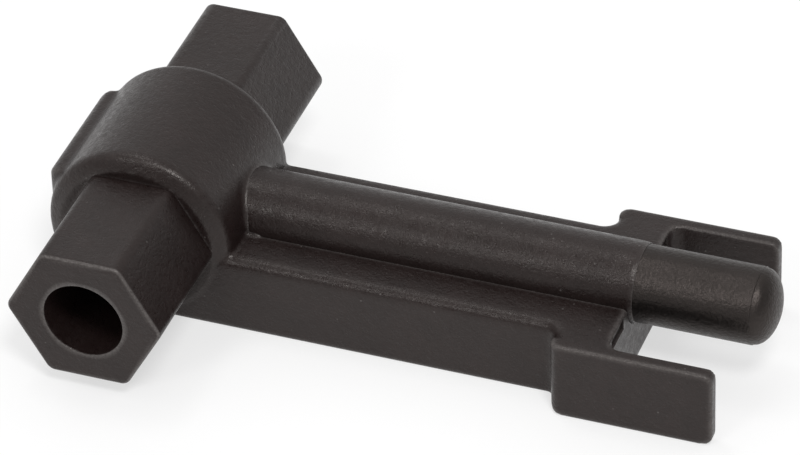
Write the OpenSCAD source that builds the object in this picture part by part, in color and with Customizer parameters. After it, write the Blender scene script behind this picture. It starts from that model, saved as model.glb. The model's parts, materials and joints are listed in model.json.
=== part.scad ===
// Radiator bleed key, a T-shaped hand tool.
// A hub carries a cross tube with a hex drive at each end. A stem on a flat bar
// reaches forward from the hub and ends in a domed nose between two fork tabs.
// +X runs from the hub to the nose, Y along the cross tube, +Z up from the flat base.
// The model stands on z = 0, with x = 0 and y = 0 in the middle of its box.

/* [Cross tube] */
// Hex size of the cross tube across its flats
hex_flats = 13; // [10.6:0.1:17]
// Length of the cross tube from end to end
tube_len = 41; // [33:0.5:60]
// Radius of the six long corners of the cross tube
hex_corner_r = 0.9; // [0.3:0.1:1.6]
// Diameter of the round bore at each end of the cross tube
bore_d = 7.5; // [6:0.1:9]

/* [Square socket] */
// Size across the flats of the square socket, for a 5 mm vent square
square_flats = 5.1; // [4:0.05:6.2]
// Wall of the socket sleeve outside the corners of its square
socket_wall = 1.2; // [0.6:0.1:1.6]
// Length of the socket sleeve
socket_len = 14; // [8:0.5:20]
// Depth of the lead-in cone at each end of the square
socket_lead = 0.8; // [0.3:0.1:1.5]

/* [Hub] */
// Wall of the hub outside the corners of the cross tube
hub_wall = 1.4; // [1.2:0.1:4]
// Length of the hub along the cross tube
hub_len = 16; // [14:0.2:24]
// Height of the cone at each end of the hub, from its rim to the corners of the cross tube
hub_cone_h = 0.7; // [0.4:0.1:2.5]
// Rounding of the two rims of the hub
hub_edge_r = 0.9; // [0.4:0.1:2]
// Material between the lower flat of the cross tube and the base plane
base_wall = 1.6; // [1:0.1:4]

/* [Rear pad] */
// Width of the square pad on the back of the hub
pad_w = 13.2; // [9:0.2:16]
// Height of the pad's top above the axis of the cross tube
pad_rise = 5; // [2:0.1:6]
// How far the pad stands out behind the hub
pad_proud = 0.2; // [0.1:0.1:5]
// Rounding of the pad's two rear corners
pad_corner_r = 1.2; // [0.3:0.1:2.5]

/* [Bar] */
// Width of the bar
bar_w = 15.8; // [12:0.2:20]
// Depth of the bar's top below the axis of the stem
bar_drop = 0.35; // [0.05:0.05:2]
// Rounding of the bar's two upper long edges
bar_edge_r = 1; // [0.3:0.1:1.6]

/* [Stem and nose] */
// Diameter of the stem sleeve
stem_d = 7.5; // [6:0.1:9.4]
// Depth of the step from the stem sleeve down to the bare nose
nose_step = 0.17; // [0.16:0.01:0.5]
// Diameter of the core rod inside the stem
rod_d = 4; // [3:0.1:5]
// Length of the core rod inside the corner of the cross tube
rod_bite = 1.2; // [0.5:0.1:1.6]
// Depth of the stem's seat in the wall of the hub
stem_seat = 0.9; // [0.4:0.1:1]
// Length of the stem in front of the fork block
stem_proud = 0.4; // [0.2:0.1:2]
// Length of the nose from the stem to the ring where its dome begins
nose_len = 10.8; // [8:0.1:16]
// Height of the dome on the nose
dome_h = 1.95; // [0.8:0.05:3]
// Depth of the fine step at the ring where the dome begins
dome_step = 0.08; // [0.03:0.01:0.3]

/* [Fork] */
// Distance from the axis of the cross tube to the front face of the fork block
reach = 45.4; // [36:0.2:70]
// Length of the fork block along the bar
block_len = 5.1; // [3:0.1:9]
// How far each tab's outer face stands out beyond the side of the bar
shoulder = 2.8; // [2:0.1:5]
// Thickness of each tab
tab_t = 1.35; // [1:0.05:1.9]
// Length of the tabs in front of the fork block
tab_len = 10.1; // [7:0.1:14]
// Rounding of the tabs' corners, seen from the side
tab_corner_r = 0.9; // [0.3:0.1:2]
// Rounding of the upright edge at the rear of each tab, on its outer side
tab_edge_r = 1; // [0.3:0.1:1.5]
// Fillet behind the tabs and in the inner corners of the fork
fork_fillet_r = 1.2; // [0.4:0.1:1.4]
// Height of the shallow rebate under the block's upper front edge
rebate_h = 1.2; // [0.6:0.1:2]
// Depth of the rebate
rebate_depth = 0.3; // [0.2:0.1:1.5]
// Thickness of the lip above the rebate
rebate_lip = 0.3; // [0.2:0.1:1]
// Distance from the side of the stem to the rebate
rebate_gap = 0.9; // [0.3:0.1:2]

/* [Fits] */
// Clearance around each piece that is moulded in or pressed in
seat_gap = 0.02; // [0.01:0.01:0.05]

/* [Hidden] */
$fn = 96;
// Overlap that makes a cut run past a face
over = 1;
// Number of straight steps in the outline of the dome
dome_steps = 10;
hex_r = hex_flats / sqrt(3);
corner_tip_r = hex_r - hex_corner_r * (2 / sqrt(3) - 1);
hub_r = hex_r + hub_wall;
rim_r = min(hub_edge_r, 0.9 * hub_wall);
axis_h = hex_flats / 2 + base_wall;
bar_top = axis_h - bar_drop;
stem_r = stem_d / 2;
nose_r = stem_r - nose_step;
rod_r = rod_d / 2;
rod_rear = corner_tip_r - rod_bite;
stem_rear = hub_r - stem_seat;
stem_front = reach + stem_proud;
dome_start = stem_front + nose_len;
nose_tip = dome_start + dome_h;
pad_rear = hub_r + pad_proud;
mid_x = (nose_tip - pad_rear) / 2;
block_rear = reach - block_len;
tab_front = reach + tab_len;
fork_half = bar_w / 2 + shoulder;
tab_inner = fork_half - tab_t;
rear_fillet_r = min(fork_fillet_r, shoulder / 2);
rear_edge_r = min(tab_edge_r, 0.8 * tab_t, shoulder / 2);
socket_r = square_flats / sqrt(2) + socket_wall;

// Moves the hub's own frame, with the axis of the cross tube above x = 0,
// to the frame of the whole key
module place() {
  translate([-mid_x, 0, 0]) children();
}

// Straight round bar along +X at the height of the tube's axis
module along_x(x0, x1, r) {
  translate([x0, 0, axis_h]) rotate([0, 90, 0]) cylinder(h = x1 - x0, r = r);
}

// Straight round bar along Y, centred on the tube's axis
module along_y(length, r) {
  translate([0, 0, axis_h]) rotate([90, 0, 0]) cylinder(h = length, r = r, center = true);
}

// Hexagon with round corners, two of them on the X axis, grown by gap all round
module hex_section(gap) {
  corner_at = hex_r - hex_corner_r * 2 / sqrt(3);
  r = hex_corner_r + gap;
  polygon([for (k = [0:5], side = [-30, 30])
    corner_at * [cos(60 * k), sin(60 * k)] + r * [cos(60 * k + side), sin(60 * k + side)]]);
  for (k = [0:5])
    rotate(60 * k) translate([corner_at, 0]) circle(r = r);
}

// Hexagonal prism along Y, centred on the tube's axis
module hex_prism(length, gap) {
  translate([0, 0, axis_h]) rotate([90, 0, 0])
    linear_extrude(height = length, center = true) hex_section(gap);
}

// Rectangle from the corner a to the corner b with its listed corners rounded
module rounded_box_2d(a, b, r, corners) {
  difference() {
    translate(a) square(b - a);
    for (c = corners) {
      at = [c[0] > 0 ? b[0] : a[0], c[1] > 0 ? b[1] : a[1]];
      translate(at) difference() {
        square(2 * r, center = true);
        translate(-r * c) circle(r = r);
      }
    }
  }
}

// Outline of an inner corner at the origin, filled in the quarter that quarter points to
module fillet_2d(r, quarter) {
  difference() {
    translate(quarter * r / 2) square(r, center = true);
    translate(quarter * r) circle(r = r);
  }
}

// Half outline of the hub: a straight side, a rounded rim and a cone at each end
module hub_section() {
  end = hub_len / 2;
  tilt = atan2(hub_cone_h, hub_r - hex_r);
  normal = [sin(tilt), cos(tilt)];
  rim = [hub_r, end - hub_cone_h] - rim_r * ([1, 0] + normal) / (1 + normal[0]);
  cone = rim + rim_r * normal;
  polygon([[0, -end], [hex_r, -end], [cone[0], -cone[1]], [hub_r, -rim[1]],
    [hub_r, rim[1]], cone, [hex_r, end], [0, end]]);
  for (side = [-1, 1])
    translate([rim[0], side * rim[1]]) circle(r = rim_r);
}

// Round hub with conical ends, standing on its flat base
module hub() {
  difference() {
    translate([0, 0, axis_h]) rotate([90, 0, 0]) rotate_extrude() hub_section();
    translate([-2 * hub_r, -hub_len, -2 * hub_r]) cube([4 * hub_r, 2 * hub_len, 2 * hub_r]);
  }
}

// Square pad on the back of the hub
module rear_pad() {
  linear_extrude(height = axis_h + pad_rise)
    rounded_box_2d([-pad_rear, -pad_w / 2], [-hub_r / 2, pad_w / 2], pad_corner_r,
      [[-1, -1], [-1, 1]]);
}

// Flat bar with rounded upper edges, from the middle of the hub to the fork block
module bar() {
  rotate([90, 0, 90]) linear_extrude(height = block_rear + block_len / 2)
    rounded_box_2d([-bar_w / 2, 0], [bar_w / 2, bar_top], bar_edge_r, [[-1, 1], [1, 1]]);
}

// Fork block with the fillets behind it and in front of it
module fork_block() {
  linear_extrude(height = bar_top) {
    translate([block_rear, rear_edge_r - fork_half])
      square([block_len, 2 * (fork_half - rear_edge_r)]);
    for (side = [-1, 1]) {
      translate([block_rear, side * bar_w / 2]) fillet_2d(rear_fillet_r, [-1, side]);
      translate([reach, side * tab_inner]) fillet_2d(fork_fillet_r, [1, -side]);
    }
  }
}

// Upright tab on one side of the fork
module tab(side) {
  near = side > 0 ? tab_inner : -fork_half;
  intersection() {
    translate([0, near + tab_t, 0]) rotate([90, 0, 0]) linear_extrude(height = tab_t)
      rounded_box_2d([block_rear, 0], [tab_front, bar_top], tab_corner_r, [[-1, -1], [1, -1], [1, 1]]);
    linear_extrude(height = bar_top)
      rounded_box_2d([block_rear, near], [tab_front, near + tab_t], rear_edge_r, [[-1, side]]);
  }
}

// Shallow rebate under the block's upper front edge, on one side of the stem
module rebate(side) {
  inner = stem_r + rebate_gap;
  outer = tab_inner - fork_fillet_r;
  translate([reach - rebate_depth, side > 0 ? inner : -outer, bar_top - rebate_lip - rebate_h])
    cube([rebate_depth + over, outer - inner, rebate_h]);
}

// One moulding: hub, rear pad, bar, fork block and tabs
module body() {
  color("#3c3937") place() difference() {
    union() {
      hub();
      rear_pad();
      bar();
      fork_block();
      tab(-1);
      tab(1);
    }
    hex_prism(hub_len + 2 * over, seat_gap);
    along_x(stem_rear - seat_gap, reach + over, stem_r + seat_gap);
    along_x(rod_rear, stem_rear, rod_r + seat_gap);
    rebate(-1);
    rebate(1);
  }
}

// Hexagonal cross tube: a bore at each end and a wider chamber for the square socket
module hex_tube() {
  color("#413e3c") place() difference() {
    hex_prism(tube_len, 0);
    along_y(tube_len + 2 * over, bore_d / 2);
    along_y(socket_len + 2 * seat_gap, socket_r + seat_gap);
    along_x(rod_rear - seat_gap, hex_r, rod_r + seat_gap);
  }
}

// Sleeve with a square hole, moulded into the middle of the cross tube
module square_socket() {
  color("#8a857f") place() difference() {
    along_y(socket_len, socket_r);
    translate([0, 0, axis_h])
      cube([square_flats, socket_len + 2 * over, square_flats], center = true);
    for (side = [-1, 1])
      translate([0, side * socket_len / 2, axis_h]) rotate([side * 90, 0, 0])
        cylinder(h = socket_lead, r1 = square_flats / sqrt(2), r2 = square_flats / 2);
  }
}

// Round sleeve on the core rod, half sunk in the top of the bar
module stem_sleeve() {
  color("#3f3c3a") place() difference() {
    along_x(stem_rear, stem_front, stem_r);
    along_x(stem_rear - over, stem_front + over, rod_r + seat_gap);
  }
}

// Nose with a domed end, and the core rod that runs back through the stem
module nose_pin() {
  dome_r = nose_r - dome_step;
  color("#45423f") place() translate([0, 0, axis_h]) rotate([0, 90, 0]) rotate_extrude()
    polygon(concat(
      [[0, rod_rear], [rod_r, rod_rear], [rod_r, stem_front], [nose_r, stem_front], [nose_r, dome_start]],
      [for (k = [0:dome_steps]) let (a = 90 * k / dome_steps)
        [dome_r * cos(a), dome_start + dome_h * sin(a)]]));
}

body();
hex_tube();
square_socket();
stem_sleeve();
nose_pin();
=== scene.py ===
# %% [markdown]
# A radiator bleed key is a small moulded hand tool: a hexagonal cross tube through a round
# hub, and a round stem on a flat bar that ends in a nose between two tabs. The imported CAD
# model is loaded first and is never moved. It gives every size and place, in metres, and
# each piece made below is a finer version of one of its parts, with the soft edges and
# the skin that a mould leaves.

import json
import math

import bmesh
import bpy
from mathutils import Matrix, Vector

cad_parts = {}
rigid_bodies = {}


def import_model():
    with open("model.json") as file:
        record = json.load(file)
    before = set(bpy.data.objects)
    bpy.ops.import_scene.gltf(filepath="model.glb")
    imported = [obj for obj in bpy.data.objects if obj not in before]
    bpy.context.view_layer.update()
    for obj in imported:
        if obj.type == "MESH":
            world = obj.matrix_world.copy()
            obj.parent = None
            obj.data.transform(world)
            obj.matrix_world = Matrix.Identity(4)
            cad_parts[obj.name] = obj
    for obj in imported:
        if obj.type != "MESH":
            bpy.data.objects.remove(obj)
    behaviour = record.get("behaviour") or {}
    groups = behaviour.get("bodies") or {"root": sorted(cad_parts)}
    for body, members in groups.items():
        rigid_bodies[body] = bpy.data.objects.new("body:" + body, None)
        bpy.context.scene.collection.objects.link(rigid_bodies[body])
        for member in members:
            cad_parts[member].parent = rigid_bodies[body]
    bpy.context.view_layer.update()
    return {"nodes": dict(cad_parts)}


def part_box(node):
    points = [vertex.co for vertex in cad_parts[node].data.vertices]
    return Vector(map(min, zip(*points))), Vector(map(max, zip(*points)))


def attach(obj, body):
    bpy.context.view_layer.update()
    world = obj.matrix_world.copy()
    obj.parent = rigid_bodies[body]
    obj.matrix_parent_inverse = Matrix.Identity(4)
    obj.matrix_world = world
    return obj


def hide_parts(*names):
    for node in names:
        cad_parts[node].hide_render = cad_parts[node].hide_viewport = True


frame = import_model()
MM = 0.001

# %% [markdown]
# The sizes of the tool. Whatever shows in the box round a CAD part is read from it, so
# that a change in the CAD moves the Blender pieces too. A size that no box shows, such as
# a corner radius, is written in millimetres where it is first needed, with the CAD's own
# value. Everything is modelled in millimetres around the axis of the cross tube, where
# x = 0, and is moved and scaled once, at the end.

# %% Sizes from the CAD boxes
def box_mm(name):
    """Lowest and highest corner of a CAD part, in millimetres."""
    low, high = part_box(name)
    return low / MM, high / MM


tube_low, tube_high = box_mm("hex_tube")
sleeve_low, sleeve_high = box_mm("stem_sleeve")
nose_low, nose_high = box_mm("nose_pin")
body_low, body_high = box_mm("body")

hub_x = (tube_low.x + tube_high.x) / 2
axis_z = (tube_low.z + tube_high.z) / 2
tube_half = (tube_high.y - tube_low.y) / 2
hex_flats = tube_high.z - tube_low.z
hex_r = hex_flats / math.sqrt(3)
stem_r = (sleeve_high.z - sleeve_low.z) / 2
stem_rear = sleeve_low.x - hub_x
stem_front = sleeve_high.x - hub_x
nose_r = (nose_high.z - nose_low.z) / 2
nose_tip = nose_high.x - hub_x
rod_rear = nose_low.x - hub_x
hub_r = body_high.z - axis_z
pad_rear = hub_x - body_low.x
fork_half = body_high.y
tab_front = body_high.x - hub_x
print(f"hub radius {hub_r:.2f}, stem {2 * stem_r:.2f}, nose {2 * nose_r:.2f} mm")
print(f"fork {2 * fork_half:.2f} mm wide, tube {2 * tube_half:.2f} mm long")

# %% [markdown]
# The camera looks down a little on the tool from in front of its near tube end, through a
# long lens, so that edges stay nearly parallel. It comes before the modelling, so that
# every later look at a piece is from the same place.

# %% Camera
def camera_turn(azimuth, elevation, roll):
    """Rotation of a camera that looks back along azimuth and elevation, in degrees."""
    az, el = math.radians(azimuth), math.radians(elevation)
    back = Vector((math.sin(az) * math.cos(el), -math.cos(az) * math.cos(el), math.sin(el)))
    right = Vector((0, 0, 1)).cross(back).normalized()
    turn = Matrix((right, back.cross(right), back)).transposed()
    return turn @ Matrix.Rotation(math.radians(roll), 3, "Z"), back


camera_data = bpy.data.cameras.new("camera")
camera_data.lens = 240
camera_data.sensor_width = 36
camera_data.clip_start = 0.01
camera_data.clip_end = 20
camera = bpy.data.objects.new("camera", camera_data)
bpy.context.scene.collection.objects.link(camera)
bpy.context.scene.camera = camera

camera_distance = 482.7
aim_ahead, aim_above = 22.595, 0.825
turn, back = camera_turn(azimuth=21.39, elevation=37.28, roll=-2.18)
aim = Vector((hub_x + aim_ahead, 0, axis_z + aim_above)) * MM
camera.matrix_world = Matrix.Translation(aim + back * camera_distance * MM) @ turn.to_4x4()
print("camera aims at", [round(v / MM, 2) for v in aim], "mm")

# %% [markdown]
# The body is one moulding: hub, rear pad, flat bar, fork block and two tabs. In a mould
# every inside corner gets a fillet and every edge a small radius. Bevels could make them
# one by one, but where a round hub, a bar and a stem meet at one place they tangle. So
# each part is modelled as a plain closed solid with its larger radii, the solids are
# fused by a voxel remesh, and smoothing then melts the joins and edges together, as a
# cutter's own radius does in a real mould.

# %% Helpers for turned solids
def solid(bm, name):
    """An object from a closed bmesh, still in millimetres round the tube's axis."""
    bmesh.ops.recalc_face_normals(bm, faces=bm.faces)
    mesh = bpy.data.meshes.new(name)
    bm.to_mesh(mesh)
    bm.free()
    made = bpy.data.objects.new(name, mesh)
    bpy.context.scene.collection.objects.link(made)
    return made


def spun_solid(bm, outline, axis, centre, steps=128):
    """Spins an outline of (radius, place along the axis) pairs into a closed solid."""
    axis = Vector(axis)
    out = Vector((0, 0, 1))
    points = [bm.verts.new(Vector(centre) + out * r + axis * a) for r, a in outline]
    lines = [bm.edges.new(pair) for pair in zip(points, points[1:])]
    if outline[0][0] > 0:
        lines.append(bm.edges.new((points[-1], points[0])))
    bmesh.ops.spin(bm, geom=points + lines, cent=centre, axis=axis,
                   angle=math.tau, steps=steps, use_merge=True)
    bmesh.ops.remove_doubles(bm, verts=bm.verts, dist=1e-4)


def arc(centre, radius, start, end, steps):
    """Points on an arc, as (radius, place) pairs, with the angles in degrees."""
    turns = [math.radians(start + (end - start) * k / steps) for k in range(steps + 1)]
    return [(centre[0] + radius * math.cos(t), centre[1] + radius * math.sin(t)) for t in turns]

# %% [markdown]
# The hub has the shape of a turned barrel, whose two ends rise in a shallow cone to the
# tube, with a rounded rim. One outline spun round the tube's axis gives all of it, and a
# cutting plane then takes off what would hang below the base.

# %% Hub with conical ends
hub_half, hub_cone_h, hub_edge_r = 8, 0.7, 0.9

tilt = math.atan2(hub_cone_h, hub_r - hex_r)
rim_line = (hub_half - hub_cone_h) - hub_edge_r * math.cos(tilt) / (1 + math.sin(tilt))
rim_centre = (hub_r - hub_edge_r, rim_line)
upper_rim = arc(rim_centre, hub_edge_r, 0, 90 - math.degrees(tilt), 6)
half_outline = upper_rim + [(hex_r, hub_half), (0, hub_half)]
hub_outline = [(r, -a) for r, a in reversed(half_outline)] + half_outline

moulding = bmesh.new()
spun_solid(moulding, hub_outline, (0, 1, 0), (0, 0, axis_z), steps=160)
cut_line = bmesh.ops.bisect_plane(
    moulding, geom=moulding.verts[:] + moulding.edges[:] + moulding.faces[:],
    plane_co=(0, 0, 0), plane_no=(0, 0, -1), clear_outer=True)["geom_cut"]
base_rim = [g for g in cut_line if isinstance(g, bmesh.types.BMEdge)]
bmesh.ops.holes_fill(moulding, edges=base_rim, sides=0)
open_edges = sum(e.is_boundary for e in moulding.edges)
print("hub:", len(moulding.faces), "faces, open edges:", open_edges)
parts = [solid(moulding, "hub")]

# %% [markdown]
# The pad is the flat block behind the hub, where a thumb can press. It is a plain box run
# into the hub, with its two upright rear corners rounded by a bevel.

# %% Rear pad
def box_solid(bm, low, high):
    """Adds a closed box between two corners."""
    made = bmesh.ops.create_cube(bm, size=1)["verts"]
    low, high = Vector(low), Vector(high)
    bmesh.ops.scale(bm, vec=high - low, verts=made)
    bmesh.ops.translate(bm, vec=(low + high) / 2, verts=made)


def edges_where(bm, test):
    """Edges whose two ends both pass a test on their place."""
    return [e for e in bm.edges if all(test(v.co) for v in e.verts)]


def near(a, b):
    """Whether two places are within a micron of each other."""
    return abs(a - b) < 1e-3


pad_half, pad_top, pad_corner_r = 6.6, axis_z + 5, 1.2

pad = bmesh.new()
box_solid(pad, (-pad_rear, -pad_half, 0), (-hub_r / 2, pad_half, pad_top))
upright = edges_where(pad, lambda p: near(p.x, -pad_rear) and near(abs(p.y), pad_half))
bmesh.ops.bevel(pad, geom=upright, offset=pad_corner_r, segments=6, profile=0.5,
                affect="EDGES", material=-1)
print("pad:", len(pad.faces), "faces,", round(pad_top, 2), "mm high")
parts.append(solid(pad, "pad"))

# %% [markdown]
# The bar and the fork block share one outline seen from above. Its corners are rounded
# while it is still flat, which gives the inside fillets and the outside radii at once,
# and then it is pulled up to its height. The two upper long edges get their larger radius.

# %% Bar and block from one outline
bar_half, bar_top, bar_edge_r = 7.9, axis_z - 0.35, 1.0
block_front = stem_front - 0.4
block_rear = block_front - 5.1
tab_t, fork_fillet_r = 1.35, 1.2
tab_inner = fork_half - tab_t
into_tab = 0.3
shoulder = block_front + fork_fillet_r + 0.1

outline = bmesh.new()
half = [(0, bar_half), (block_rear, bar_half), (block_rear, tab_inner + into_tab),
        (shoulder, tab_inner + into_tab), (shoulder, tab_inner), (block_front, tab_inner)]
corners = [outline.verts.new((x, y, 0)) for x, y in half]
corners += [outline.verts.new((x, -y, 0)) for x, y in reversed(half)]
outline.faces.new(corners)
inside = [v for v in outline.verts
          if (near(v.co.x, block_rear) and near(abs(v.co.y), bar_half))
          or (near(v.co.x, block_front) and near(abs(v.co.y), tab_inner))]
bmesh.ops.bevel(outline, geom=inside, offset=fork_fillet_r, segments=8, profile=0.5,
                affect="VERTICES", material=-1)
raised = bmesh.ops.extrude_face_region(outline, geom=outline.faces[:])["geom"]
upper = [g for g in raised if isinstance(g, bmesh.types.BMVert)]
bmesh.ops.translate(outline, vec=(0, 0, bar_top), verts=upper)
long_edges = edges_where(
    outline, lambda p: near(p.z, bar_top) and p.x < block_rear + 1e-3 and abs(p.y) > bar_half - 1e-3)
bmesh.ops.bevel(outline, geom=long_edges, offset=bar_edge_r, segments=6, profile=0.5,
                affect="EDGES", material=-1)
print("bar and block:", len(outline.faces), "faces")
parts.append(solid(outline, "bar"))

# %% [markdown]
# The tabs are the two flat blades of the fork, which grip a part from its sides. Each is a
# thin box along the side of the block, so it could be part of the outline above, but its
# corners are rounded as seen from the side, and that needs a box of its own.

# %% Tabs
tab_corner_r = 0.95

for side in (-1, 1):
    tab = bmesh.new()
    inner, outer = side * tab_inner, side * fork_half
    box_solid(tab, (block_rear, min(inner, outer), 0), (tab_front, max(inner, outer), bar_top))
    rounded = edges_where(tab, lambda p: near(p.x, tab_front) and near(p.z, bar_top))
    rounded += edges_where(tab, lambda p: near(p.x, tab_front) and near(p.z, 0))
    rounded += edges_where(tab, lambda p: near(p.x, block_rear) and near(p.z, 0))
    rounded += edges_where(tab, lambda p: near(p.x, block_rear) and near(p.y, outer))
    bmesh.ops.bevel(tab, geom=rounded, offset=tab_corner_r, segments=6, profile=0.5,
                    affect="EDGES", material=-1)
    parts.append(solid(tab, "tab"))
print(len(parts), "solids for the body")

# %% [markdown]
# Now the solids become one skin. A voxel remesh fuses whatever overlaps and a few rounds
# of smoothing turn each edge and corner into a small radius. A short dummy stem is fused
# in with the rest. It isn't kept: it is there so that smoothing draws a fillet round the
# stem's root, and the cut that makes room for the real stem leaves just that fillet.

# %% Fuse and smooth the body
def make_real(thing):
    """Gives an object the mesh that its modifiers show, and takes them off."""
    bpy.context.view_layer.update()
    graph = bpy.context.evaluated_depsgraph_get()
    shown = bpy.data.meshes.new_from_object(thing.evaluated_get(graph))
    thing.modifiers.clear()
    old, thing.data = thing.data, shown
    bpy.data.meshes.remove(old)


dummy = bmesh.new()
dummy_front = hub_r + 1.5
spun_solid(dummy, [(0, 0), (stem_r, 0), (stem_r, dummy_front), (0, dummy_front)],
           (1, 0, 0), (0, 0, axis_z), steps=96)
parts.append(solid(dummy, "dummy_stem"))

fused = bmesh.new()
for part in parts:
    fused.from_mesh(part.data)
    bpy.data.meshes.remove(part.data)
body = solid(fused, "moulded_body")

remesh = body.modifiers.new("fuse", "REMESH")
remesh.mode = "VOXEL"
remesh.voxel_size = 0.2
soften = body.modifiers.new("soften", "SMOOTH")
soften.factor = 0.5
soften.iterations = 4
make_real(body)
print("fused body:", len(body.data.vertices), "vertices")

# %% [markdown]
# The join of hub, stem and bar has a larger fillet than the other corners, as it carries
# the load when the key is turned. Only the points close to it are smoothed again, a few
# times over, so that the rest of the body keeps its small radii.

# %% Larger fillets at the hub
def root_distance(p):
    """Distance of a point from the lines where the hub meets the stem and the bar."""
    elsewhere = 99
    from_axis = math.hypot(p.x, p.z - axis_z)
    to_hub = abs(from_axis - hub_r)
    from_stem = abs(math.hypot(p.y, p.z - axis_z) - stem_r)
    beside_stem = p.z > bar_top - 0.5 and p.x > 0
    beside_bar = abs(p.y) < bar_half and p.x > 0
    to_stem = math.hypot(to_hub, from_stem) if beside_stem else elsewhere
    to_bar = math.hypot(to_hub, p.z - bar_top) if beside_bar else elsewhere
    return min(to_stem, to_bar)


fillet_reach = 0.6
work = bmesh.new()
work.from_mesh(body.data)
close = [v for v in work.verts if root_distance(v.co) < fillet_reach]
for _ in range(5):
    bmesh.ops.smooth_vert(work, verts=close, factor=0.5,
                          use_axis_x=True, use_axis_y=True, use_axis_z=True)
work.to_mesh(body.data)
work.free()
print("points in the hub's fillets:", len(close))

# %% [markdown]
# The tube, the stem and the pin are laid in the mould and the nylon is shot round them, so
# the body has a seat of their own shape, with a hair of clearance. bmesh has no operator
# that cuts one solid from another, so a Boolean modifier does it and is made real at
# once. The seats are cut after the smoothing, so that their walls stay exact.

# %% Helpers for cuts
def tidy_mesh(thing):
    """Merges points closer than two microns and dissolves those that only split an edge."""
    weld = 0.002
    bm = bmesh.new()
    bm.from_mesh(thing.data)
    bmesh.ops.remove_doubles(bm, verts=bm.verts, dist=weld)
    bmesh.ops.dissolve_degenerate(bm, edges=bm.edges, dist=weld)
    idle = [v for v in bm.verts if len(v.link_edges) == 2]
    bmesh.ops.dissolve_verts(bm, verts=idle)
    open_edges = sum(not e.is_manifold for e in bm.edges)
    print(thing.name, "idle points:", len(idle), "open edges:", open_edges)
    bm.to_mesh(thing.data)
    bm.free()


def combine(thing, other, operation="DIFFERENCE"):
    """Cuts the other solid out of a solid, or joins it on, and throws the other away."""
    boolean = thing.modifiers.new("combine", "BOOLEAN")
    boolean.operation = operation
    boolean.solver = "EXACT"
    boolean.object = other
    make_real(thing)
    bpy.data.meshes.remove(other.data)
    tidy_mesh(thing)


hex_corner_r = 0.9


def hex_prism(bm, start, end, grow=0):
    """Makes a hexagonal prism along Y with round corners, two of them level with its axis."""
    radius = hex_r + grow * 2 / math.sqrt(3)
    made = bmesh.ops.create_circle(bm, cap_ends=True, segments=6, radius=radius)["verts"]
    for degrees, axis in ((30, "Z"), (90, "X")):
        turn = Matrix.Rotation(math.radians(degrees), 3, axis)
        bmesh.ops.rotate(bm, cent=(0, 0, 0), matrix=turn, verts=made)
    bmesh.ops.translate(bm, vec=(0, start, axis_z), verts=made)
    cut_back = (hex_corner_r + grow) * math.tan(math.radians(30))
    bmesh.ops.bevel(bm, geom=made, offset=cut_back, segments=4,
                    profile=0.5, affect="VERTICES", material=-1)
    pulled = bmesh.ops.extrude_face_region(bm, geom=bm.faces[:])["geom"]
    far_end = [g for g in pulled if isinstance(g, bmesh.types.BMVert)]
    bmesh.ops.translate(bm, vec=(0, end - start, 0), verts=far_end)

# %% Seats for the tube, the stem and the rod
seat_gap = 0.02
rod_r = 2
rod_seat_r, stem_seat_r = rod_r + seat_gap, stem_r + seat_gap

seat = bmesh.new()
hex_prism(seat, -hub_half - 2, hub_half + 2, seat_gap)
combine(body, solid(seat, "tube_seat"))

seat = bmesh.new()
spun_solid(seat, [(0, rod_rear), (rod_seat_r, rod_rear), (rod_seat_r, stem_rear - seat_gap),
                  (stem_seat_r, stem_rear - seat_gap), (stem_seat_r, block_front + 1),
                  (0, block_front + 1)], (1, 0, 0), (0, 0, axis_z), steps=128)
combine(body, solid(seat, "stem_seat"))
print("body with its seats:", len(body.data.vertices), "vertices")

# %% [markdown]
# Just under its top edge, the face of the block that looks into the fork has a shallow
# recess on each side of the stem. It has straight sides, so a plain box cuts it.

# %% Rebates in the block
rebate_inner, rebate_outer = stem_r + 0.9, tab_inner - fork_fillet_r
rebate_low, rebate_high = bar_top - 1.5, bar_top - 0.3
rebate_depth = 0.3

for side in (-1, 1):
    seat = bmesh.new()
    sides = sorted((side * rebate_inner, side * rebate_outer))
    box_solid(seat, (block_front - rebate_depth, sides[0], rebate_low),
              (block_front + 1, sides[1], rebate_high))
    combine(body, solid(seat, "rebate"))
print("body after the cuts:", len(body.data.vertices), "vertices")

# %% [markdown]
# The cross tube is a plain hexagonal section, so it keeps exact flat faces: a hexagon is
# rounded at its corners, pulled to length and bevelled at its ends. Each large face gets
# a narrow border, so that the shading of the bevel stays beside the edge. A fine lip of
# flash, the nylon that creeps out between tube and mould, stands round it at the hub.

# %% Hexagonal cross tube
tube_edge_r = 0.3
border, large_area = 0.4, 60
lip_rise, lip_width, lip_start = 0.06, 0.12, hub_half + 0.01

tube = bmesh.new()
hex_prism(tube, -tube_half, tube_half)
ends = [e for e in tube.edges
        if near(abs(e.verts[0].co.y), tube_half) and near(e.verts[0].co.y, e.verts[1].co.y)]
bmesh.ops.bevel(tube, geom=ends, offset=tube_edge_r, segments=3, profile=0.5,
                affect="EDGES", material=-1)
large = [f for f in tube.faces if f.calc_area() > large_area]
bmesh.ops.inset_individual(tube, faces=large, thickness=border)
cross_tube = solid(tube, "cross_tube")

for side in (-1, 1):
    lip = bmesh.new()
    hex_prism(lip, side * lip_start, side * (lip_start + lip_width), lip_rise)
    combine(cross_tube, solid(lip, "lip"), "UNION")
print("tube:", len(large), "long faces and two lips")

# %% [markdown]
# Inside, the tube is bored from both ends, with a wider chamber in the middle for the
# steel socket and a cross hole for the rod of the nose. Core pins leave such holes in a
# real mould. Here one spun cutter has the shape of all of the bore, and it flares near its
# ends, so that the mouth of each bore gets its small round edge.

# %% Bore, chamber and rod hole
bore_r = 3.75
socket_r, socket_half = 4.81, 7
chamber_r, chamber = socket_r + seat_gap, socket_half + seat_gap
mouth = tube_half + 1
flare = ((0, -0.2), (0.03, -0.05), (0.15, 0.07))

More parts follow.
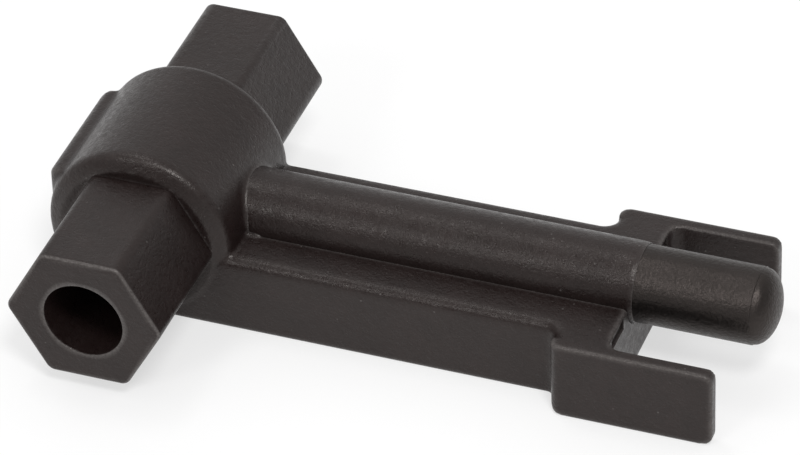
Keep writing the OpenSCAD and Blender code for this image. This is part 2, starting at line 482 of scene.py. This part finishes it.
rim = [(bore_r + wider, tube_half + past) for wider, past in flare]
rim.append((rim[-1][0], mouth))
step = [(bore_r, -chamber), (chamber_r, -chamber), (chamber_r, chamber), (bore_r, chamber)]
near_half = [(0, -mouth)] + [(r, -a) for r, a in reversed(rim)]
drill = bmesh.new()
spun_solid(drill, near_half + step + rim + [(0, mouth)], (0, 1, 0), (0, 0, axis_z), steps=96)
combine(cross_tube, solid(drill, "drill"))

drill = bmesh.new()
rod_hole = [(0, rod_rear - seat_gap), (rod_seat_r, rod_rear - seat_gap),
            (rod_seat_r, hex_r + 1), (0, hex_r + 1)]
spun_solid(drill, rod_hole, (1, 0, 0), (0, 0, axis_z), steps=64)
combine(cross_tube, solid(drill, "rod_hole"))
print("cross tube bored:", len(cross_tube.data.vertices), "vertices")

# %% [markdown]
# The edge wear and painted highlight made further on are kept at points, so the two
# ring-shaped end faces need points between their inner and outer edges, or the lightening
# at an edge would fade across the whole face.

# %% Points on the end faces
cuts_per_line = 4
shortest = 0.5

faces = bmesh.new()
faces.from_mesh(cross_tube.data)
flat_ends = [f for f in faces.faces if all(near(abs(v.co.y), tube_half) for v in f.verts)]
bmesh.ops.triangulate(faces, faces=flat_ends)
long_lines = [e for e in faces.edges
              if e.calc_length() > shortest and all(near(abs(v.co.y), tube_half) for v in e.verts)]
bmesh.ops.subdivide_edges(faces, edges=long_lines, cuts=cuts_per_line, use_grid_fill=True)
faces.to_mesh(cross_tube.data)
faces.free()
print("cross tube:", len(cross_tube.data.vertices), "vertices")

# %% [markdown]
# The stem sleeve and the nose are turned shapes, so each is an outline spun round the
# long axis. The nose is a little thinner than the sleeve, which makes the fine ring where
# they meet, and a second, finer ring marks where its dome begins. The rod behind the nose
# is one piece with it, and holds it in the stem and the tube.

# %% Stem sleeve
sleeve_end = ((0, 1), (0.02, 0.5), (0.07, 0.08), (0.12, 0))

sleeve = bmesh.new()
outside = [(stem_r - thinner, stem_front - behind) for thinner, behind in sleeve_end]
spun_solid(sleeve, [(rod_seat_r, stem_rear), (stem_r, stem_rear)] + outside
           + [(rod_seat_r, stem_front)], (1, 0, 0), (0, 0, axis_z), steps=160)
stem = solid(sleeve, "stem")
print("stem:", len(stem.data.vertices), "vertices")

# %% Nose with its rod
nose_len, dome_step, dome_rings = 10.8, 0.08, 16
dome_start = stem_front + nose_len
dome_r, dome_h = nose_r - dome_step, nose_tip - dome_start

barrel = [(nose_r, stem_front), (nose_r, stem_front + 0.4), (nose_r, dome_start - 0.3),
          (nose_r - 0.01, dome_start - 0.04), (dome_r, dome_start)]
dome_turns = [math.radians(90 * k / dome_rings) for k in range(1, dome_rings)]
dome = [(dome_r * math.cos(t), dome_start + dome_h * math.sin(t)) for t in dome_turns]
pin = bmesh.new()
spun_solid(pin, [(0, rod_rear), (rod_r, rod_rear), (rod_r, stem_front)] + barrel + dome
           + [(0, nose_tip)], (1, 0, 0), (0, 0, axis_z), steps=160)
nose = solid(pin, "nose")
print("nose:", len(nose.data.vertices), "vertices")

# %% [markdown]
# Handling rubs the edges of a black moulding first: they turn a shade lighter. The same
# lightening also stands in for the thin highlights that the lamps draw along rounded
# edges, so it is partly real wear and partly a painted highlight. How sharply the surface
# bends outwards at each point is measured here and kept with the mesh as an attribute,
# and the material reads it. It travels with the mesh, so it looks the same from every side.

# %% Measure the worn edges and their painted highlight
def mark_edge_wear_and_highlight(piece, spread, start, full, shows):
    """Stores, as edge wear with its painted highlight, how far each point's bend in degrees is from
    start to full.
    """
    bm = bmesh.new()
    bm.from_mesh(piece.data)
    wear_and_highlight = bm.verts.layers.float.new("edge_wear_and_highlight")
    for v in bm.verts:
        bends = [e.calc_face_angle_signed(0) for e in v.link_edges]
        bend = math.degrees(sum(bends) / max(1, len(bends)))
        v[wear_and_highlight] = max(0.0, min(1.0, (bend - start) / (full - start))) if shows(v.co) else 0.0
    for _ in range(spread):
        blurred = [(v[wear_and_highlight] + sum(e.other_vert(v)[wear_and_highlight] for e in v.link_edges))
                   / (1 + len(v.link_edges)) for v in bm.verts]
        for v, value in zip(bm.verts, blurred):
            v[wear_and_highlight] = value
    print(piece.name, "points with wear:", sum(v[wear_and_highlight] > 0 for v in bm.verts))
    bm.to_mesh(piece.data)
    bm.free()


def tube_end_outside(p):
    """Whether a point is at an end of the tube and outside the bore."""
    return abs(p.y) > tube_half - 0.25 and math.hypot(p.x, p.z - axis_z) > bore_r + 0.05


# Lighter edges, partly wear and partly painted highlight: all of the body, the tube's outer ends and
# the stem's front rim.
mark_edge_wear_and_highlight(body, 1, 5, 15, lambda p: True)
mark_edge_wear_and_highlight(cross_tube, 0, 6, 18, tube_end_outside)
mark_edge_wear_and_highlight(stem, 0, 5, 40, lambda p: p.x > stem_front - 0.2)

# %% [markdown]
# The pieces now leave millimetres. Their meshes are scaled to metres and moved to the
# hub's place in the frame, while the objects stay at the origin. Faces are shaded smooth,
# apart from the few edges that are really sharp, such as the mouth of a seat.

# %% Put the pieces at their places
sharp_above = 50


def finish_piece(piece, angle):
    """Puts a solid at its place in metres and shades it, with edges sharp above an angle."""
    piece.data.transform(Matrix.Scale(MM, 4) @ Matrix.Translation((hub_x, 0, 0)))
    piece.data.shade_smooth()
    piece.data.set_sharp_from_angle(angle=math.radians(angle))
    piece.data.update()
    triangles = sum(len(p.vertices) - 2 for p in piece.data.polygons)
    print(piece.name, "has", triangles, "triangles")


for made in (body, cross_tube, stem, nose):
    finish_piece(made, sharp_above)

# %% [markdown]
# Materials. One helper turns the sRGB hex values of a colour chart into the linear
# numbers that the renderer mixes, one adds a node with its settings and links, and one
# starts a material.

# %% Helpers for materials
def hex_colour(code):
    """Linear RGBA from an sRGB hex value such as 3c3937."""
    channels = [int(code[k:k + 2], 16) / 255 for k in (0, 2, 4)]
    linear = [c / 12.92 if c <= 0.04045 else ((c + 0.055) / 1.055) ** 2.4 for c in channels]
    return (*linear, 1)


def add_node(tree, kind, inputs, **settings):
    """Adds a node, sets it up, and links or fills its inputs."""
    made = tree.nodes.new(kind)
    for name, value in settings.items():
        setattr(made, name, value)
    for name, value in inputs.items():
        if isinstance(value, bpy.types.NodeSocket):
            tree.links.new(value, made.inputs[name])
        else:
            made.inputs[name].default_value = value
    return made


def new_material(name):
    """A material with its node tree and its shader."""
    made = bpy.data.materials.new(name)
    made.use_nodes = True
    return made, made.node_tree, made.node_tree.nodes["Principled BSDF"]


print("nylon black in linear:", [round(c, 4) for c in hex_colour("170f0e")[:3]])

# %% [markdown]
# The body, the tube and the stem are black nylon 6 with short glass fibre, injection
# moulded in a spark-eroded steel mould. The black is warm and slightly cloudy where the
# resin cooled unevenly, over some 3.5 mm. The eroded skin gives a satin, finely pitted
# surface. Its real grain is about 0.1 mm wide and a few microns deep, too fine to show,
# so it is drawn 0.22 mm wide on an orange peel of 0.55 mm, and deeper than it is. A fibre
# end is 0.01 mm wide, so the pale specks are drawn ten to twenty times that, 1.6 mm apart.

# %% Moulded glass-filled nylon
def moulded_nylon(name, dark, light, gloss):
    """Satin moulded nylon between two shades, with gloss as its middle roughness."""
    cloud_mm, peel_mm, grain_mm, speck_mm, skin_mm = 3.5, 0.55, 0.22, 1.6, 0.055
    pale_speck, wear_highlight_share, grain_share = 0.35, 0.7, 0.7
    made, tree, shader = new_material(name)
    place = add_node(tree, "ShaderNodeTexCoord", {}).outputs["Object"]
    cloud = add_node(tree, "ShaderNodeTexNoise", {
        "Vector": place, "Scale": 1 / (cloud_mm * MM), "Detail": 3.0,
        "Roughness": 0.6}).outputs["Fac"]
    peel = add_node(tree, "ShaderNodeTexNoise", {
        "Vector": place, "Scale": 1 / (peel_mm * MM), "Detail": 3.0,
        "Roughness": 0.65}).outputs["Fac"]
    grain = add_node(tree, "ShaderNodeTexNoise", {
        "Vector": place, "Scale": 1 / (grain_mm * MM), "Detail": 2.0,
        "Roughness": 0.7}).outputs["Fac"]
    specks = add_node(tree, "ShaderNodeTexVoronoi", {
        "Vector": place, "Scale": 1 / (speck_mm * MM), "Randomness": 1.0}).outputs["Distance"]
    speck = add_node(tree, "ShaderNodeMapRange", {
        "Value": specks, "From Min": 0.03, "From Max": 0.07,
        "To Min": 1.0, "To Max": 0.0}).outputs["Result"]
    wear_and_highlight = add_node(tree, "ShaderNodeAttribute", {}, attribute_name="edge_wear_and_highlight").outputs["Fac"]

    # Colour: two shades by cloud and grain, then the specks, then the edges lightened as rubbed wear
    # and as painted highlight.
    tone = add_node(tree, "ShaderNodeMath", {0: cloud, 1: grain}, operation="ADD").outputs[0]
    tone = add_node(tree, "ShaderNodeMapRange", {
        "Value": tone, "From Min": 0.7, "From Max": 1.3}).outputs["Result"]
    base = add_node(tree, "ShaderNodeMix", {
        0: tone, 6: hex_colour(dark), 7: hex_colour(light)}, data_type="RGBA").outputs[2]
    pale = add_node(tree, "ShaderNodeMath", {
        0: speck, 1: pale_speck}, operation="MULTIPLY").outputs[0]
    wear_highlight = add_node(tree, "ShaderNodeMath", {
        0: wear_and_highlight, 1: grain}, operation="MULTIPLY").outputs[0]
    wear_highlight = add_node(tree, "ShaderNodeMath", {
        0: wear_highlight, 1: wear_highlight_share}, operation="MULTIPLY").outputs[0]
    pale = add_node(tree, "ShaderNodeMath", {
        0: wear_highlight, 1: pale}, operation="MAXIMUM").outputs[0]
    # The pale colour is laid on the fibre specks and on the edges, there as wear and as painted
    # highlight.
    base = add_node(tree, "ShaderNodeMix", {
        0: pale, 6: base, 7: hex_colour("787472")}, data_type="RGBA").outputs[2]

    # Gloss varies with the peel, and the bump is the peel with the grain on it.
    rough = add_node(tree, "ShaderNodeMapRange", {
        "Value": peel, "From Min": 0.3, "From Max": 0.7,
        "To Min": gloss - 0.1, "To Max": gloss + 0.12}).outputs["Result"]
    height = add_node(tree, "ShaderNodeMath", {
        0: grain, 1: grain_share, 2: peel}, operation="MULTIPLY_ADD").outputs[0]
    bump = add_node(tree, "ShaderNodeBump", {
        "Height": height, "Strength": 1.0, "Distance": skin_mm * MM}).outputs["Normal"]
    tree.links.new(base, shader.inputs["Base Color"])
    tree.links.new(rough, shader.inputs["Roughness"])
    tree.links.new(bump, shader.inputs["Normal"])
    shader.inputs["IOR"].default_value = 1.53
    shader.inputs["Specular IOR Level"].default_value = 0.35
    shader.inputs["Specular Tint"].default_value = hex_colour("fff9f5")
    return made


nylon = moulded_nylon("moulded_glass_filled_nylon", "170f0e", "221918", 0.34)
print(nylon.name, "has", len(nylon.node_tree.nodes), "nodes")

# %% [markdown]
# The nose is the bare end of a turned steel pin with a black oxide finish: a thin, dark,
# converted skin with an oil sheen, cloudy over 2.5 mm. It looks a little smoother than
# the nylon. Its pits and turning marks are a few hundredths of a millimetre wide, too fine
# to show, so they are drawn as one fine pitting 0.3 mm wide. The socket has the same skin.

# %% Black oxide steel
cloud_mm, pit_mm, skin_mm = 2.5, 0.3, 0.06

oxide, tree, shader = new_material("turned_black_oxide_steel")
place = add_node(tree, "ShaderNodeTexCoord", {}).outputs["Object"]
cloud = add_node(tree, "ShaderNodeTexNoise", {
    "Vector": place, "Scale": 1 / (cloud_mm * MM), "Detail": 3.0,
    "Roughness": 0.6}).outputs["Fac"]
pits = add_node(tree, "ShaderNodeTexNoise", {
    "Vector": place, "Scale": 1 / (pit_mm * MM), "Detail": 2.0,
    "Roughness": 0.6}).outputs["Fac"]
base = add_node(tree, "ShaderNodeMix", {
    0: cloud, 6: hex_colour("383432"), 7: hex_colour("443f3d")}, data_type="RGBA").outputs[2]
rough = add_node(tree, "ShaderNodeMapRange", {
    "Value": pits, "From Min": 0.3, "From Max": 0.7,
    "To Min": 0.34, "To Max": 0.5}).outputs["Result"]
bump = add_node(tree, "ShaderNodeBump", {
    "Height": pits, "Strength": 1.0, "Distance": skin_mm * MM}).outputs["Normal"]
tree.links.new(base, shader.inputs["Base Color"])
tree.links.new(rough, shader.inputs["Roughness"])
tree.links.new(bump, shader.inputs["Normal"])
shader.inputs["Metallic"].default_value = 1.0
print(oxide.name, "has", len(oxide.node_tree.nodes), "nodes")

# %% [markdown]
# Each piece gets its material, the CAD part it stands for is hidden, and it is attached
# to the body it moves with. The key is rigid, so that is the root. The socket's CAD mesh is
# right as it is, and it only gets the oxide finish.

for piece, node, slot, finish in ((body, "body", "black_nylon", nylon),
                                  (cross_tube, "hex_tube", "black_nylon", nylon),
                                  (stem, "stem_sleeve", "black_nylon", nylon),
                                  (nose, "nose_pin", "dark_steel", oxide)):
    piece.data.materials.clear()
    piece.data.materials.append(finish)
    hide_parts(node)
    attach(piece, "root")
socket = frame["nodes"]["square_socket"]
socket.data.materials.clear()
socket.data.materials.append(oxide)
print("pieces:", body.name, cross_tube.name, stem.name, nose.name)

# %% [markdown]
# The tool lies on a light table, a sheet of opal acrylic that is lit from below. It glows
# a little under white, so it looks bright and even, and it lifts the shadow that the lamps
# cast until only a trace is left. One large flat face is enough for it.

# %% Floor
floor_half, floor_drop = 3, 0.05

floor_bm = bmesh.new()
bmesh.ops.create_grid(floor_bm, x_segments=1, y_segments=1, size=floor_half)
bmesh.ops.translate(floor_bm, vec=(0, 0, -floor_drop * MM), verts=floor_bm.verts)
floor_mesh = bpy.data.meshes.new("floor")
floor_bm.to_mesh(floor_mesh)
floor_bm.free()
floor = bpy.data.objects.new("floor", floor_mesh)
bpy.context.scene.collection.objects.link(floor)
opal, tree, shader = new_material("opal_acrylic_light_table")
shader.inputs["Base Color"].default_value = hex_colour("a0a0a0")
shader.inputs["Roughness"].default_value = 0.9
shader.inputs["Emission Color"].default_value = hex_colour("ffffff")
shader.inputs["Emission Strength"].default_value = 0.61
floor.data.materials.append(opal)
print("floor:", 2 * floor_half, "m wide,", floor_drop, "mm below the tool")

# %% [markdown]
# Black things are seen by what they reflect. A white tent round the tool gives every face
# its grey, and it is brighter behind and to the left, so that the top faces stand out
# from the sides. The view transform is the plain one, which leaves white as white.

# %% Tent
brightest_towards = (-0.38, 0.86, 0.35)
dim, bright = 0.42, 0.82

bpy.context.scene.view_settings.view_transform = "Standard"
world = bpy.data.worlds.new("studio")
world.use_nodes = True
sky = world.node_tree
direction = add_node(sky, "ShaderNodeTexCoord", {}).outputs["Generated"]
facing = add_node(sky, "ShaderNodeVectorMath", {
    0: direction, 1: brightest_towards}, operation="DOT_PRODUCT").outputs["Value"]
level = add_node(sky, "ShaderNodeMapRange", {
    "Value": facing, "From Min": -0.5, "From Max": 1.0,
    "To Min": dim, "To Max": bright}, interpolation_type="SMOOTHSTEP").outputs["Result"]
sky.nodes["Background"].inputs["Color"].default_value = hex_colour("ffffff")
sky.links.new(level, sky.nodes["Background"].inputs["Strength"])
bpy.context.scene.world = world
print("tent strength from", dim, "to", bright)

# %% [markdown]
# Three small round softboxes draw the soft bands of light along the stem and the nose and
# on the rim of the hub. Each is aimed at the middle of the tool, and its place decides
# where on a round piece its band falls.

# %% Softboxes
def add_softbox(name, place, size, power):
    """A round area light at a place in metres, aimed at the origin, with its power in watts."""
    data = bpy.data.lights.new(name, "AREA")
    data.shape = "DISK"
    data.size = size
    data.energy = power
    light = bpy.data.objects.new(name, data)
    light.location = place
    light.rotation_euler = (-Vector(place)).to_track_quat("-Z", "Y").to_euler()
    bpy.context.scene.collection.objects.link(light)
    print(name, "at", round(Vector(place).length, 2), "m,", power, "W")


softbox_size = 0.2
add_softbox("front_softbox", (-0.23, -0.59, 0.48), softbox_size, 0.9)
add_softbox("top_softbox", (0.24, -0.35, 0.68), softbox_size, 2.8)
add_softbox("ridge_softbox", (-0.23, 0.12, 0.75), softbox_size, 0.6)
